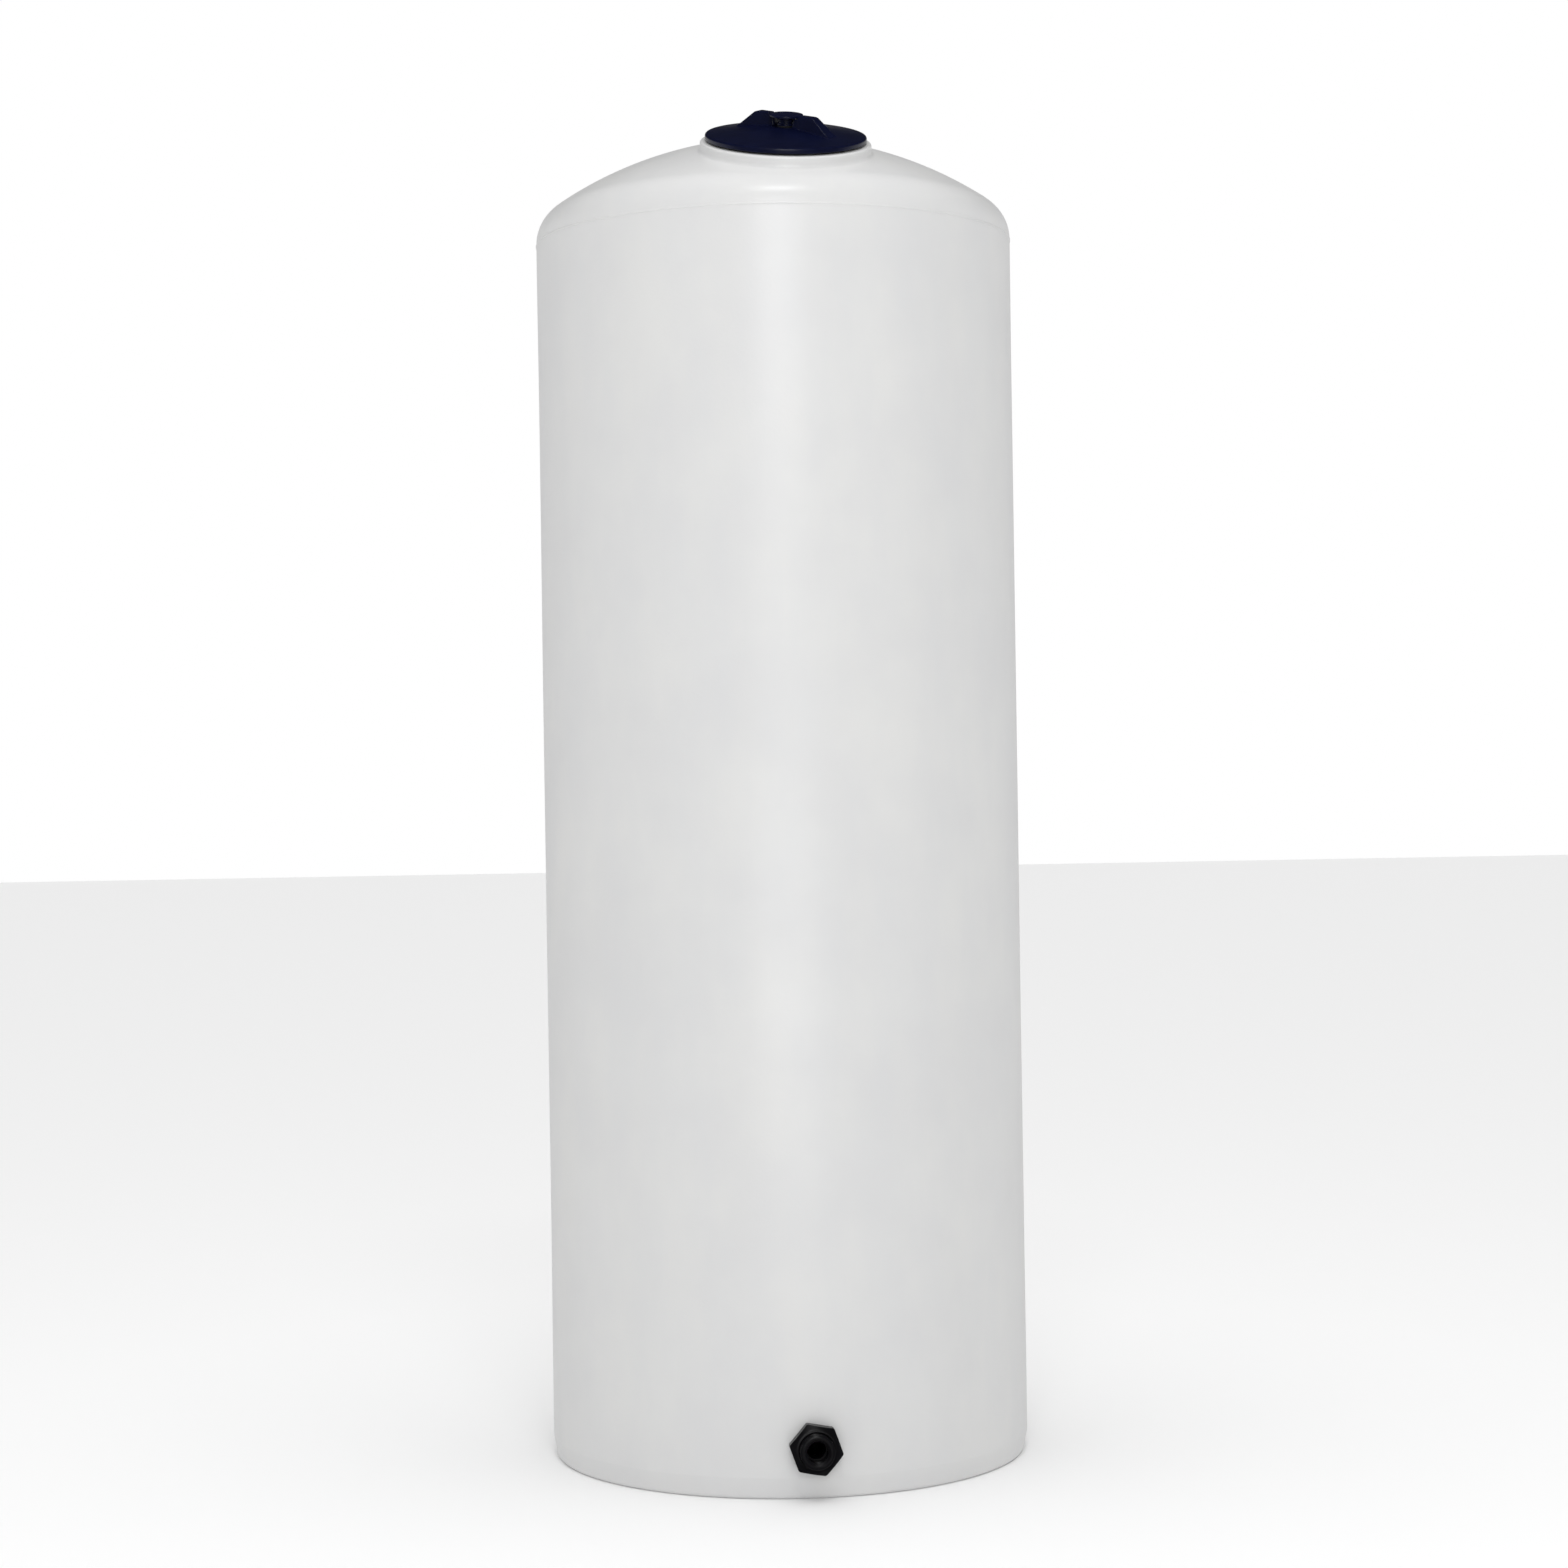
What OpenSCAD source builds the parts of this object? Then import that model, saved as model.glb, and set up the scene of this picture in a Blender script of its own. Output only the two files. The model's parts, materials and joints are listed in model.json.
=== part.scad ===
// Upright polyethylene tank with a screw lid on a sloping neck, a breather
// in the middle of the lid and a flanged outlet fitting low on the wall.
// Units are millimetres. +Z is up, the origin is the centre of the flat base,
// and the neck and the outlet both face -Y.

/* [Tank] */
// Outside radius of the straight wall
body_r = 350; // [300:1:400]
// Height of the mould parting line above the base
seam_h = 1778; // [1200:1:2000]
// Wall thickness
wall = 5; // [4:0.5:6]
// Outside radius of the crown
crown_r = 573; // [480:1:700]
// Outside radius of the round between wall and crown
shoulder_r = 57; // [40:1:80]
// How far the wall draws in at the base
base_draw = 4; // [2:0.5:8]
// Height over which the wall draws in
base_h = 30; // [20:1:50]
// How far the parting line stands out
seam_proud = 0.8; // [0.4:0.1:1.5]

/* [Neck] */
// Angle between the neck's axis and the vertical
neck_tilt = 21.5; // [15:0.5:24]
// Outside radius of the collar
collar_r = 121.6; // [118:0.1:125]
// Height of the collar's top face above the crown sphere
collar_top = 1; // [0:0.5:4]
// Radius of the neck's bore, at the root of its thread
neck_bore_r = 99; // [98:0.1:100]
// Depth of the threaded sleeve below the collar's top face
sleeve_h = 31; // [28:1:40]

/* [Thread] */
// Rise of the lid in one turn
pitch = 9; // [8:0.5:10]
// Turns of thread on the neck; the lid's thread is half a turn shorter
thread_turns = 2; // [1.5:0.25:2]
// Width of a thread rib where it leaves the wall
rib_w = 3.6; // [3:0.1:4]
// Width of a thread rib at its crest
rib_crest_w = 2; // [1.5:0.1:2.4]

/* [Lid] */
// Outside radius of the lid's rim
lid_r = 114.7; // [112:0.1:116]
// Height of the rim
rim_h = 7; // [5:0.5:9]
// Rise of the cone from the rim to the middle
cone_rise = 12.5; // [8:0.5:16]
// Thickness of the lid
lid_t = 4; // [3:0.5:5]
// Outside radius of the skirt that goes into the neck
skirt_r = 95.5; // [95:0.1:95.8]
// Length of the skirt
skirt_h = 28; // [24:1:29]
// Direction of the grip bar, seen from above the lid
grip_angle = -40; // [-90:5:90]
// Thickness of the two grip wings along their top edge
grip_t = 15; // [10:1:16]
// Height of the wings' top edge above the underside of the rim
grip_h = 36.6; // [34:0.1:39]
// Draft of the wings' sides, in degrees
grip_draft = 7; // [3:1:8]
// Thickness of the lid seal
seal_t = 2.2; // [1.6:0.1:3]

/* [Breather] */
// Radius of the breather's cap
cap_r = 24; // [20:0.5:26]
// Height of the cap
cap_h = 4.8; // [4:0.1:6]
// Radius of the foot ring
stem_r = 13.3; // [12:0.1:14]
// How far the cap can rise
cap_lift = 5; // [3:0.5:5]

/* [Outlet] */
// Height of the outlet's axis above the base
outlet_h = 71; // [60:1:90]
// Outside radius of the threaded spigot
spigot_r = 23.9; // [23:0.1:25]
// Reach of the spigot beyond the tank wall
spigot_reach = 35; // [32:1:40]
// Radius of the one-inch pipe thread's crests in the bore
bore_r = 15.15; // [14.9:0.05:15.3]
// Radius of the water way behind the thread
way_r = 13; // [10:0.5:14]
// Depth of the threaded bore
bore_h = 24; // [18:1:28]
// Width across the nut's flats
nut_af = 66; // [60:1:68]
// Thickness of the nut
nut_h = 18; // [14:1:20]
// Radius of the flange inside the tank
flange_r = 38; // [36:1:42]

/* [Hidden] */
$fn = 96;

// Clearance between pieces that move past each other
gap = 0.3;

// Tank outline
base_round = 6;
base_r = body_r - base_draw;
shoulder_z = seam_h + 3;
shoulder_x = body_r - shoulder_r;
crown_z = shoulder_z - sqrt(pow(crown_r - shoulder_r, 2) - pow(shoulder_x, 2));
blend_angle = atan2(shoulder_z - crown_z, shoulder_x);
seam_half = 1.5;

// Neck: its axis is a radius of the crown sphere, and heights along it are
// measured from that sphere
neck_y = -crown_r * sin(neck_tilt);
neck_z = crown_z + crown_r * cos(neck_tilt);
collar_round = 3.5;
collar_root = -40;
sleeve_r = neck_bore_r + wall + 1;
sleeve_end = collar_top - sleeve_h;

// Thread ribs: the lid's crests pass the neck's bore, and the neck's crests
// pass the lid's skirt, each with room to spare
lid_crest_r = 98;
neck_crest_r = 96.3;
rib_root = 1;
rib_steps = 40;
rib_runout = 6;
neck_rib_z = -22;

// Lid, in heights along the neck's axis
seal_z = collar_top + gap;
rim_z = seal_z + seal_t + gap;
seal_in_r = skirt_r + gap;
seal_out_r = 108;
rim_top_z = rim_z + rim_h;
rim_in_r = lid_r - 3.5;
hub_r = 24;
hub_z = rim_top_z + cone_rise;
skirt_t = 4;
skirt_end = rim_z - skirt_h;
vent_hole_r = 10.4;

// Grip wings, as distances from the lid's centre
grip_root_r = stem_r + 5.7;
grip_in_r = cap_r + 1.5;
grip_flat_r = 46;
grip_corner_r = 50;
grip_foot_r = 79;
grip_foot_z = hub_z - cone_rise * (grip_foot_r - hub_r) / (rim_in_r - hub_r);
grip_top_z = rim_z + grip_h;

// Breather, in heights along the neck's axis
thread_r = 10;
foot_t = 1.5;
foot_z = hub_z + foot_t;
ring_h = 2.9;
ring_r = [stem_r, 11, 12.5, 10.6];
stem_top_z = foot_z + len(ring_r) * ring_h;
stem_end_z = hub_z - 16;
guide_r = 7;
chamber_r = 8.7;
guide_z = stem_top_z - 5;
screen_t = 1;
screen_z = stem_end_z + 2;
screen_hole_r = 0.8;
leg_r = 6.6;
leg_t = 2;
leg_w = 4;
barb_r = 8.2;
barb_h = 1.5;
barb_z = guide_z - gap - cap_lift - barb_h;
cap_z = stem_top_z + gap;
grip_root_z = cap_z - 1;
cap_skirt = 3.2;
vent_nut_af = 30;
vent_nut_h = 5;

// Outlet, in distances along -Y from the tank's axis
inner_r = body_r - wall;
washer_t = 3;
washer_r = 31;
gasket_t = 3;
flange_t = 6;
wall_hole_r = spigot_r + 0.6;
nut_bore_r = spigot_r + 0.1;
nut_y = body_r + washer_t;
spigot_y = body_r + spigot_reach;
gasket_y = inner_r - gasket_t;
flange_y = gasket_y - flange_t;
nut_face_r = nut_af / 2 - 1;
nut_turn = -10.5;

// Points of an arc about a centre, from one angle to another
function arc(centre, r, from, to, steps) =
    [for (i = [0 : steps])
        let (a = from + (to - from) * i / steps)
        centre + r * [cos(a), sin(a)]];

// The tank's outline from the base to the crown, moved inwards by d
function outline(d) = concat(
    [[0, d]],
    arc([base_r - base_round, base_round], base_round - d, -90, 0, 4),
    [[body_r - d, base_h]],
    arc([shoulder_x, shoulder_z], shoulder_r - d, 0, blend_angle, 8),
    [for (p = arc([0, crown_z], crown_r - d, blend_angle, 90, 16)) if (p[0] < shoulder_x) p]
);

// Places its children in the neck's own frame
module at_neck() {
    translate([0, neck_y, neck_z]) rotate([neck_tilt, 0, 0]) children();
}

// Places its children on the outlet's axis, with +Z pointing out of the tank
module at_outlet() {
    translate([0, 0, outlet_h]) rotate([90, 0, 0]) children();
}

module ring(inner, outer, from, to) {
    rotate_extrude() translate([inner, from]) square([outer - inner, to - from]);
}

module rod(r, from, to) {
    translate([0, 0, from]) cylinder(r = r, h = to - from);
}

// A helical rib on a round wall. It runs out to nothing at both ends, and its
// root is sunk into the wall.
module thread_rib(wall_r, crest_r, start_z, turns) {
    side = sign(crest_r - wall_r);
    root_r = wall_r - side * rib_root;
    steps = round(rib_steps * turns);
    function height(i) = min(1, i / rib_runout, (steps - i) / rib_runout);
    function section(i) =
        let (crest = wall_r + (crest_r - wall_r) * height(i))
        [[root_r, -rib_w / 2], [crest, -rib_crest_w / 2],
         [crest, rib_crest_w / 2], [root_r, rib_w / 2]];
    points = [for (i = [0 : steps], p = section(i))
        let (a = 360 * i / rib_steps)
        [p[0] * cos(a), p[0] * sin(a), start_z + p[1] + pitch * i / rib_steps]];
    sides = [for (i = [0 : steps - 1], k = [0 : 3])
        let (a = 4 * i + k, b = 4 * i + (k + 1) % 4)
        each [[a, a + 4, b + 4], [a, b + 4, b]]];
    last = 4 * steps;
    ends = [[0, 1, 2], [0, 2, 3], [last, last + 2, last + 1], [last, last + 3, last + 2]];
    faces = concat(sides, ends);
    polyhedron(points, side < 0 ? faces : [for (f = faces) [f[2], f[1], f[0]]]);
}

// Shell, moulded in one piece with the neck collar and its threaded sleeve
module tank_shell() color("whitesmoke") {
    difference() {
        union() {
            rotate_extrude() polygon(outline(0));
            rotate_extrude() polygon([
                [inner_r + 1, seam_h - 2 * seam_half], [body_r, seam_h - seam_half],
                [body_r + seam_proud, seam_h], [body_r, seam_h + seam_half],
                [inner_r + 1, seam_h + 2 * seam_half]
            ]);
            at_neck() rotate_extrude() polygon(concat(
                [[0, collar_root], [collar_r, collar_root]],
                arc([collar_r - collar_round, collar_top - collar_round], collar_round, 0, 90, 4),
                [[0, collar_top]]
            ));
        }
        difference() {
            union() {
                rotate_extrude() polygon(outline(wall));
                at_neck() ring(sleeve_r - 1, collar_r - wall, collar_root, collar_top - wall);
            }
            at_neck() ring(neck_bore_r - 1, sleeve_r, sleeve_end, collar_top);
        }
        at_neck() rod(neck_bore_r, 2 * collar_root, 10);
        at_outlet() rod(wall_hole_r, inner_r - 20, body_r + 10);
    }
    at_neck() thread_rib(neck_bore_r, neck_crest_r, neck_rib_z, thread_turns);
}

// Lid, moulded in one piece with its skirt, thread and two grip wings
module lid() color("midnightblue") {
    at_neck() {
        rotate_extrude() polygon(concat(
            [[vent_hole_r, hub_z - lid_t], [hub_r - 2, hub_z - lid_t],
             [skirt_r - skirt_t, rim_top_z - lid_t + 1], [skirt_r - skirt_t, skirt_end],
             [skirt_r, skirt_end], [skirt_r, rim_z], [lid_r - 1, rim_z], [lid_r, rim_z + 1]],
            arc([lid_r - 3, rim_top_z - 3], 3, 0, 90, 4),
            [[rim_in_r, rim_top_z], [hub_r, hub_z], [vent_hole_r, hub_z]]
        ));
        thread_rib(skirt_r, lid_crest_r, neck_rib_z + pitch / 2, thread_turns - 0.5);
        for (turn = [0, 180]) rotate([0, 0, grip_angle + turn]) grip_wing();
    }
}

// One grip wing: a sloping outline seen from the side, and drafted sides. Its inner end is cut
// down to pass under the breather's cap.
module grip_wing() {
    root_t = grip_t + 2 * (grip_top_z - rim_z) * tan(grip_draft);
    intersection() {
        translate([0, root_t / 2, 0]) rotate([90, 0, 0]) linear_extrude(root_t) polygon([
            [grip_root_r, hub_z - lid_t / 2], [grip_foot_r, grip_foot_z - lid_t / 2],
            [grip_foot_r, grip_foot_z], [grip_corner_r, grip_top_z - 1.2],
            [grip_flat_r, grip_top_z], [grip_in_r, grip_top_z],
            [grip_in_r, grip_root_z], [grip_root_r, grip_root_z]
        ]);
        rotate([90, 0, 90]) linear_extrude(grip_foot_r + 1) polygon([
            [-root_t / 2, rim_z], [root_t / 2, rim_z], [grip_t / 2, grip_top_z], [-grip_t / 2, grip_top_z]
        ]);
    }
}

// Flat rubber ring under the lid's rim
module lid_seal() color("dimgray") {
    at_neck() ring(seal_in_r, seal_out_r, seal_z, seal_z + seal_t);
}

// Ringed stem that stands on the lid, with its shank through the lid
module breather_body() color("darkslateblue") {
    at_neck() difference() {
        union() {
            rod(thread_r, stem_end_z, foot_z + 1);
            for (i = [0 : len(ring_r) - 1])
                rod(ring_r[i], foot_z + i * ring_h, foot_z + (i + 1) * ring_h);
        }
        rod(guide_r, stem_end_z - 1, stem_top_z + 1);
        rod(chamber_r, stem_end_z - 1, guide_z);
    }
}

// Rubber ring between the stem's foot and the lid
module breather_gasket() color("dimgray") {
    at_neck() ring(thread_r, stem_r - 0.5, hub_z, foot_z);
}

// Hexagonal nut that clamps the stem from below the lid
module breather_nut() color("darkslateblue") {
    nut_z = hub_z - lid_t - vent_nut_h;
    at_neck() difference() {
        translate([0, 0, nut_z])
            cylinder(r = vent_nut_af / 2 / cos(30), h = vent_nut_h, $fn = 6);
        rod(thread_r, nut_z - 1, nut_z + vent_nut_h + 1);
    }
}

// Perforated insect screen in the foot of the stem
module breather_screen() color("silver") {
    at_neck() difference() {
        rod(chamber_r, screen_z, screen_z + screen_t);
        rod(screen_hole_r, screen_z - 1, screen_z + screen_t + 1);
        for (row = [1, 2], k = [0 : 6 * row - 1])
            rotate([0, 0, k * 60 / row]) translate([row * 2.8, 0, 0])
                rod(screen_hole_r, screen_z - 1, screen_z + screen_t + 1);
    }
}

// Domed rain cap that floats on three barbed legs and lifts to let air out
module breather_cap() color("navy") {
    dome_r = (pow(cap_r, 2) + pow(cap_h - cap_skirt, 2)) / (2 * (cap_h - cap_skirt));
    dome_angle = asin(cap_r / dome_r);
    at_neck() {
        rotate_extrude() polygon(concat(
            [[0, cap_z], [cap_r - 2, cap_z], [cap_r, cap_z + 0.6]],
            arc([0, cap_z + cap_h - dome_r], dome_r, 90 - dome_angle, 90, 8)
        ));
        for (turn = [0, 120, 240]) rotate([0, 0, turn]) intersection() {
            union() {
                ring(leg_r - leg_t, leg_r, barb_z, cap_z + 1);
                ring(leg_r - leg_t, barb_r, barb_z, barb_z + barb_h);
            }
            translate([0, -leg_w / 2, barb_z]) cube([barb_r, leg_w, cap_z + 1 - barb_z]);
        }
    }
}

// Threaded spigot with its flange inside the tank
module outlet_body() color("dimgray") {
    at_outlet() difference() {
        union() {
            rod(flange_r, flange_y, gasket_y);
            rod(spigot_r, flange_y, spigot_y);
        }
        rod(way_r, flange_y - 1, spigot_y);
        rod(bore_r, spigot_y - bore_h, spigot_y + 1);
    }
}

// Rubber ring between the flange and the tank's inner wall, pressed to the
// wall's curve
module outlet_inner_gasket() color("black") {
    difference() {
        intersection() {
            at_outlet() rod(flange_r, gasket_y, inner_r);
            rod(inner_r, outlet_h - flange_r - 5, outlet_h + flange_r + 5, $fn = 720);
        }
        at_outlet() rod(wall_hole_r, gasket_y - 1, inner_r + 1);
    }
}

// Spacer with a hollow back that fits the tank's outer wall
module outlet_outer_washer() color("black") {
    difference() {
        at_outlet() rod(washer_r, body_r - 4, body_r + washer_t);
        at_outlet() rod(wall_hole_r, body_r - 5, body_r + washer_t + 1);
        rod(body_r, outlet_h - washer_r - 5, outlet_h + washer_r + 5, $fn = 720);
    }
}

// Hexagonal backnut on the spigot
module outlet_nut() color("dimgray") {
    corner_r = nut_af / 2 / cos(30);
    edge_r = corner_r + 1;
    top_y = nut_y + nut_h;
    at_outlet() difference() {
        intersection() {
            translate([0, 0, nut_y]) rotate([0, 0, nut_turn]) cylinder(r = corner_r, h = nut_h, $fn = 6);
            rotate_extrude() polygon([
                [0, nut_y], [edge_r, nut_y], [edge_r, top_y - (edge_r - nut_face_r) * tan(30)],
                [nut_face_r, top_y], [0, top_y]
            ]);
        }
        rod(nut_bore_r, nut_y - 1, top_y + 1);
    }
}

tank_shell();
lid();
lid_seal();
breather_body();
breather_gasket();
breather_nut();
breather_screen();
breather_cap();
outlet_body();
outlet_inner_gasket();
outlet_outer_washer();
outlet_nut();
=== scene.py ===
"""Looks of an upright plastic tank with a screw lid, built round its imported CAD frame.

Shapes are drawn in millimetres and scaled once to the scene's metres. +Z is up, the base is at zero
and the outlet points along -Y. Names that end in _R are radii. On the neck, in the lid and in the
breather, heights run along the neck's sloping axis and start at the crown's sphere.
"""
import json
from math import asin, atan2, ceil, cos, degrees, pi, radians, sin, sqrt, tan

import bmesh
import bpy
from mathutils import Matrix, Vector


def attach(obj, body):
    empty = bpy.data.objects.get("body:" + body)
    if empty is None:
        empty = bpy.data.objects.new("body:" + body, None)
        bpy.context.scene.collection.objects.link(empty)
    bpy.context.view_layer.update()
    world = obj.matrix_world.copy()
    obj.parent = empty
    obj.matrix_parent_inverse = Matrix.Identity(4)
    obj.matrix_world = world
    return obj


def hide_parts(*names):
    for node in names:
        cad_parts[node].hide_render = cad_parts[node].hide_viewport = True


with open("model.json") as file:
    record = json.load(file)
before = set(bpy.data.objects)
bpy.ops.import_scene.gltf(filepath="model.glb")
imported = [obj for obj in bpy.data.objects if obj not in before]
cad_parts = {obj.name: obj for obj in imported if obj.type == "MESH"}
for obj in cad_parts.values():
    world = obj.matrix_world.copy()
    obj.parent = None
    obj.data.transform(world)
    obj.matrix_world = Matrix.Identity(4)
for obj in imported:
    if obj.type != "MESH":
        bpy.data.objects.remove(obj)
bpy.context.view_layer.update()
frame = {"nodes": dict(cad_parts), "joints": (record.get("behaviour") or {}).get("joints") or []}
scene = bpy.context.scene
MM = 0.001

# Tank. The wall is drawn in by BASE_DRAW below BASE_H. The parting line is a ridge at SEAM_H.
BODY_R = 350
WALL = 5
SEAM_H = 1778
SEAM_PROUD = 0.8
CROWN_R = 573
SHOULDER_R = 57
BASE_DRAW = 4
BASE_H = 30
BASE_ROUND = 6
WAVE_DEPTH = 0.6
SHOULDER_X = BODY_R - SHOULDER_R
SHOULDER_Z = SEAM_H + 3
CROWN_Z = SHOULDER_Z - sqrt((CROWN_R - SHOULDER_R) ** 2 - SHOULDER_X ** 2)
BLEND_ANGLE = atan2(SHOULDER_Z - CROWN_Z, SHOULDER_X)

# Neck
COLLAR_R = 121.6
COLLAR_TOP = 1
COLLAR_FILLET = 6
BORE_R = 99
SLEEVE_R = 105
SLEEVE_END = -30

# Screw thread of neck and lid. The neck's rib starts at RIB_START, the lid's half a pitch higher.
PITCH = 9
RIB_START = -22
NECK_CREST_R = 96.3
LID_CREST_R = 98

# Lid, a rim with a cone on it that rises to the hub
RIM_Z = 3.8
RIM_TOP_Z = 10.8
LID_R = 114.7
HUB_R = 24
HUB_Z = 23.3
LID_T = 4
SKIRT_R = 95.5
SKIRT_T = 4
SKIRT_END = -24.2
VENT_HOLE_R = 10.4

# Grip wings, as distances from the lid's middle: the low inner end runs from GRIP_ROOT to GRIP_IN,
# the level top to GRIP_FLAT, and the slope from GRIP_CORNER to GRIP_FOOT
GRIP_ANGLE = radians(-40)
GRIP_HALF_T = 7.5
GRIP_DRAFT = radians(7)
GRIP_ROOT = 17.5
GRIP_IN = 25.5
GRIP_FLAT = 46
GRIP_CORNER = 50
GRIP_FOOT = 79
GRIP_ROOT_Z = 35.7
GRIP_TOP_Z = 40.4
GRIP_CORNER_Z = GRIP_TOP_Z - 1.2

# Breather, a ringed stem with a cap that stands on barbed legs
FOOT_Z = 24.8
THREAD_R = 10
CHAMBER_R = 8.7
GUIDE_R = 7
GUIDE_H = 5
RING_R = [13.3, 11, 12.5, 10.6]
RING_H = 2.9
STEM_TOP_Z = 36.4
STEM_END_Z = 7.3
CAP_R = 24
CAP_Z = 36.7
CAP_EDGE = 3.2
CAP_H = 4.8
LEG_OUT_R = 6.6
LEG_IN_R = 4.6
BARB_R = 8.2
BARB_Z = 24.6

# Outlet, a flanged spigot with its nut. Names that end in _Y are distances from the tank's axis.
OUTLET_H = 71
SPIGOT_R = 23.9
SPIGOT_END_Y = 385
FLANGE_R = 38
FLANGE_Y = 336
GASKET_Y = 342
NUT_Y = 353
NUT_H = 18
NUT_AF = 66
NUT_TURN = radians(-10.5)
WALL_HOLE_R = 24.5
PIPE_PITCH = 2.309
PIPE_DEPTH = 1.48
BORE_CREST_R = 15.15
BORE_DEPTH = 24
WAY_R = 13

lid_joint = next(j for j in frame["joints"] if j["name"] == "lid_turn")
NECK_ORIGIN = Vector(lid_joint["pos_m"])
NECK_X = Vector((1, 0, 0))
NECK_AXIS = Vector(lid_joint["axis"]).normalized()
NECK_Y = NECK_AXIS.cross(NECK_X)


def placed(origin, x_axis, z_axis):
    """Matrix that puts a shape drawn in millimetres at a place in the scene."""
    y_axis = z_axis.cross(x_axis)
    turn = Matrix((x_axis, y_axis, z_axis)).transposed().to_4x4()
    return Matrix.Translation(origin) @ turn @ Matrix.Scale(MM, 4)


UPRIGHT = placed(Vector((0, 0, 0)), Vector((1, 0, 0)), Vector((0, 0, 1)))
ON_NECK = placed(NECK_ORIGIN, NECK_X, NECK_AXIS)
ON_OUTLET = placed(Vector((0, 0, OUTLET_H * MM)), Vector((1, 0, 0)), Vector((0, -1, 0)))


# ---------------------------------------------------------------- camera and light

# Place and small turns of the camera, in metres and radians. CAMERA_ROUND is how far it stands round
# the tank from straight in front of the outlet.
CAMERA_ROUND = radians(-5.5)
CAMERA_DISTANCE = 4.5645
CAMERA_HEIGHT = 0.9852
CAMERA_PITCH = -0.00085
CAMERA_ROLL = -0.01498
CAMERA_YAW = 0.00095
LENS_MM = 70.63
SENSOR_MM = 36

# Soft boxes: place, target, size in metres and power in watts
SOFT_BOXES = {
    "key": ((-0.27, -4.2, 2.5), (0, 0, 1.5), (1.3, 1.3), 24.4),
    "fill": ((-0.3, -5.0, 0.45), (0, 0, 0.2), (2.4, 0.9), 22),
    "overhead": ((-0.09, -2.42, 4.04), (0, -0.3, 1.8), (0.8, 0.3), 16.5),
}
CEILING_STRENGTH = 1.2
CEILING_SPREAD = radians(60)
FLOOR_REACH = 30

# Brightness of the studio to the camera, as light, and in reflections off its walls and the rest
SKY_SHOWN = 1.0
SKY_LIGHT = 0.585
SKY_WALLS = 0.70
SKY_DARK = 0.02


def add_camera():
    """Camera at chest height, level, a little to the outlet's left."""
    yaw = CAMERA_YAW - CAMERA_ROUND
    forward = Vector((sin(yaw) * cos(CAMERA_PITCH), cos(yaw) * cos(CAMERA_PITCH), sin(CAMERA_PITCH)))
    level = Vector((cos(yaw), -sin(yaw), 0))
    upright = level.cross(forward)
    right = cos(CAMERA_ROLL) * level + sin(CAMERA_ROLL) * upright
    up = cos(CAMERA_ROLL) * upright - sin(CAMERA_ROLL) * level
    data = bpy.data.cameras.new("camera")
    data.lens = LENS_MM
    data.sensor_width = SENSOR_MM
    camera = bpy.data.objects.new("camera", data)
    camera.matrix_world = Matrix((right, up, -forward)).transposed().to_4x4()
    camera.location = (CAMERA_DISTANCE * sin(CAMERA_ROUND), -CAMERA_DISTANCE * cos(CAMERA_ROUND),
                       CAMERA_HEIGHT)
    scene.collection.objects.link(camera)
    scene.camera = camera


def add_area_light(name, place, target, size, power):
    """Soft box that looks at a point."""
    data = bpy.data.lights.new(name, "AREA")
    data.shape = "RECTANGLE"
    data.size, data.size_y = size
    data.energy = power
    light = bpy.data.objects.new(name, data)
    light.location = place
    light.rotation_euler = (Vector(target) - Vector(place)).to_track_quat("-Z", "Y").to_euler()
    scene.collection.objects.link(light)


def feed(tree, socket, value):
    """Links an output to the socket, or sets the socket to a plain value."""
    if isinstance(value, bpy.types.NodeSocket):
        tree.links.new(value, socket)
    else:
        socket.default_value = value


def add_world():
    """White studio that looks dark in reflections, except for its low walls behind the tank."""
    world = bpy.data.worlds.new("studio")
    world.use_nodes = True
    tree = world.node_tree

    def math(operation, *values):
        node = tree.nodes.new("ShaderNodeMath")
        node.operation = operation
        for socket, value in zip(node.inputs, values):
            feed(tree, socket, value)
        return node.outputs[0]

    def fade(value, from_low, from_high, to_low, to_high):
        node = tree.nodes.new("ShaderNodeMapRange")
        for key, number in (("Value", value), ("From Min", from_low), ("From Max", from_high),
                            ("To Min", to_low), ("To Max", to_high)):
            feed(tree, node.inputs[key], number)
        return node.outputs["Result"]

    path = tree.nodes.new("ShaderNodeLightPath").outputs
    direction = tree.nodes.new("ShaderNodeSeparateXYZ")
    tree.links.new(tree.nodes.new("ShaderNodeTexCoord").outputs["Generated"], direction.inputs[0])
    # The walls fade out upwards and, at the sides, towards the front
    low = fade(direction.outputs["Z"], 0.22, 0.42, 1, 0)
    behind = fade(direction.outputs["Y"], -0.2, 0.3, 0, 1)
    reflected = math("MULTIPLY_ADD", math("MULTIPLY", low, behind), SKY_WALLS - SKY_DARK, SKY_DARK)
    camera_part = math("MULTIPLY", path["Is Camera Ray"], SKY_SHOWN - SKY_LIGHT)
    glossy_part = math("MULTIPLY", path["Is Glossy Ray"], math("SUBTRACT", reflected, SKY_LIGHT))
    strength = math("ADD", math("ADD", camera_part, glossy_part), SKY_LIGHT)
    sky = tree.nodes["Background"]
    sky.inputs["Color"].default_value = (1, 1, 1, 1)
    tree.links.new(strength, sky.inputs["Strength"])
    scene.world = world


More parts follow.
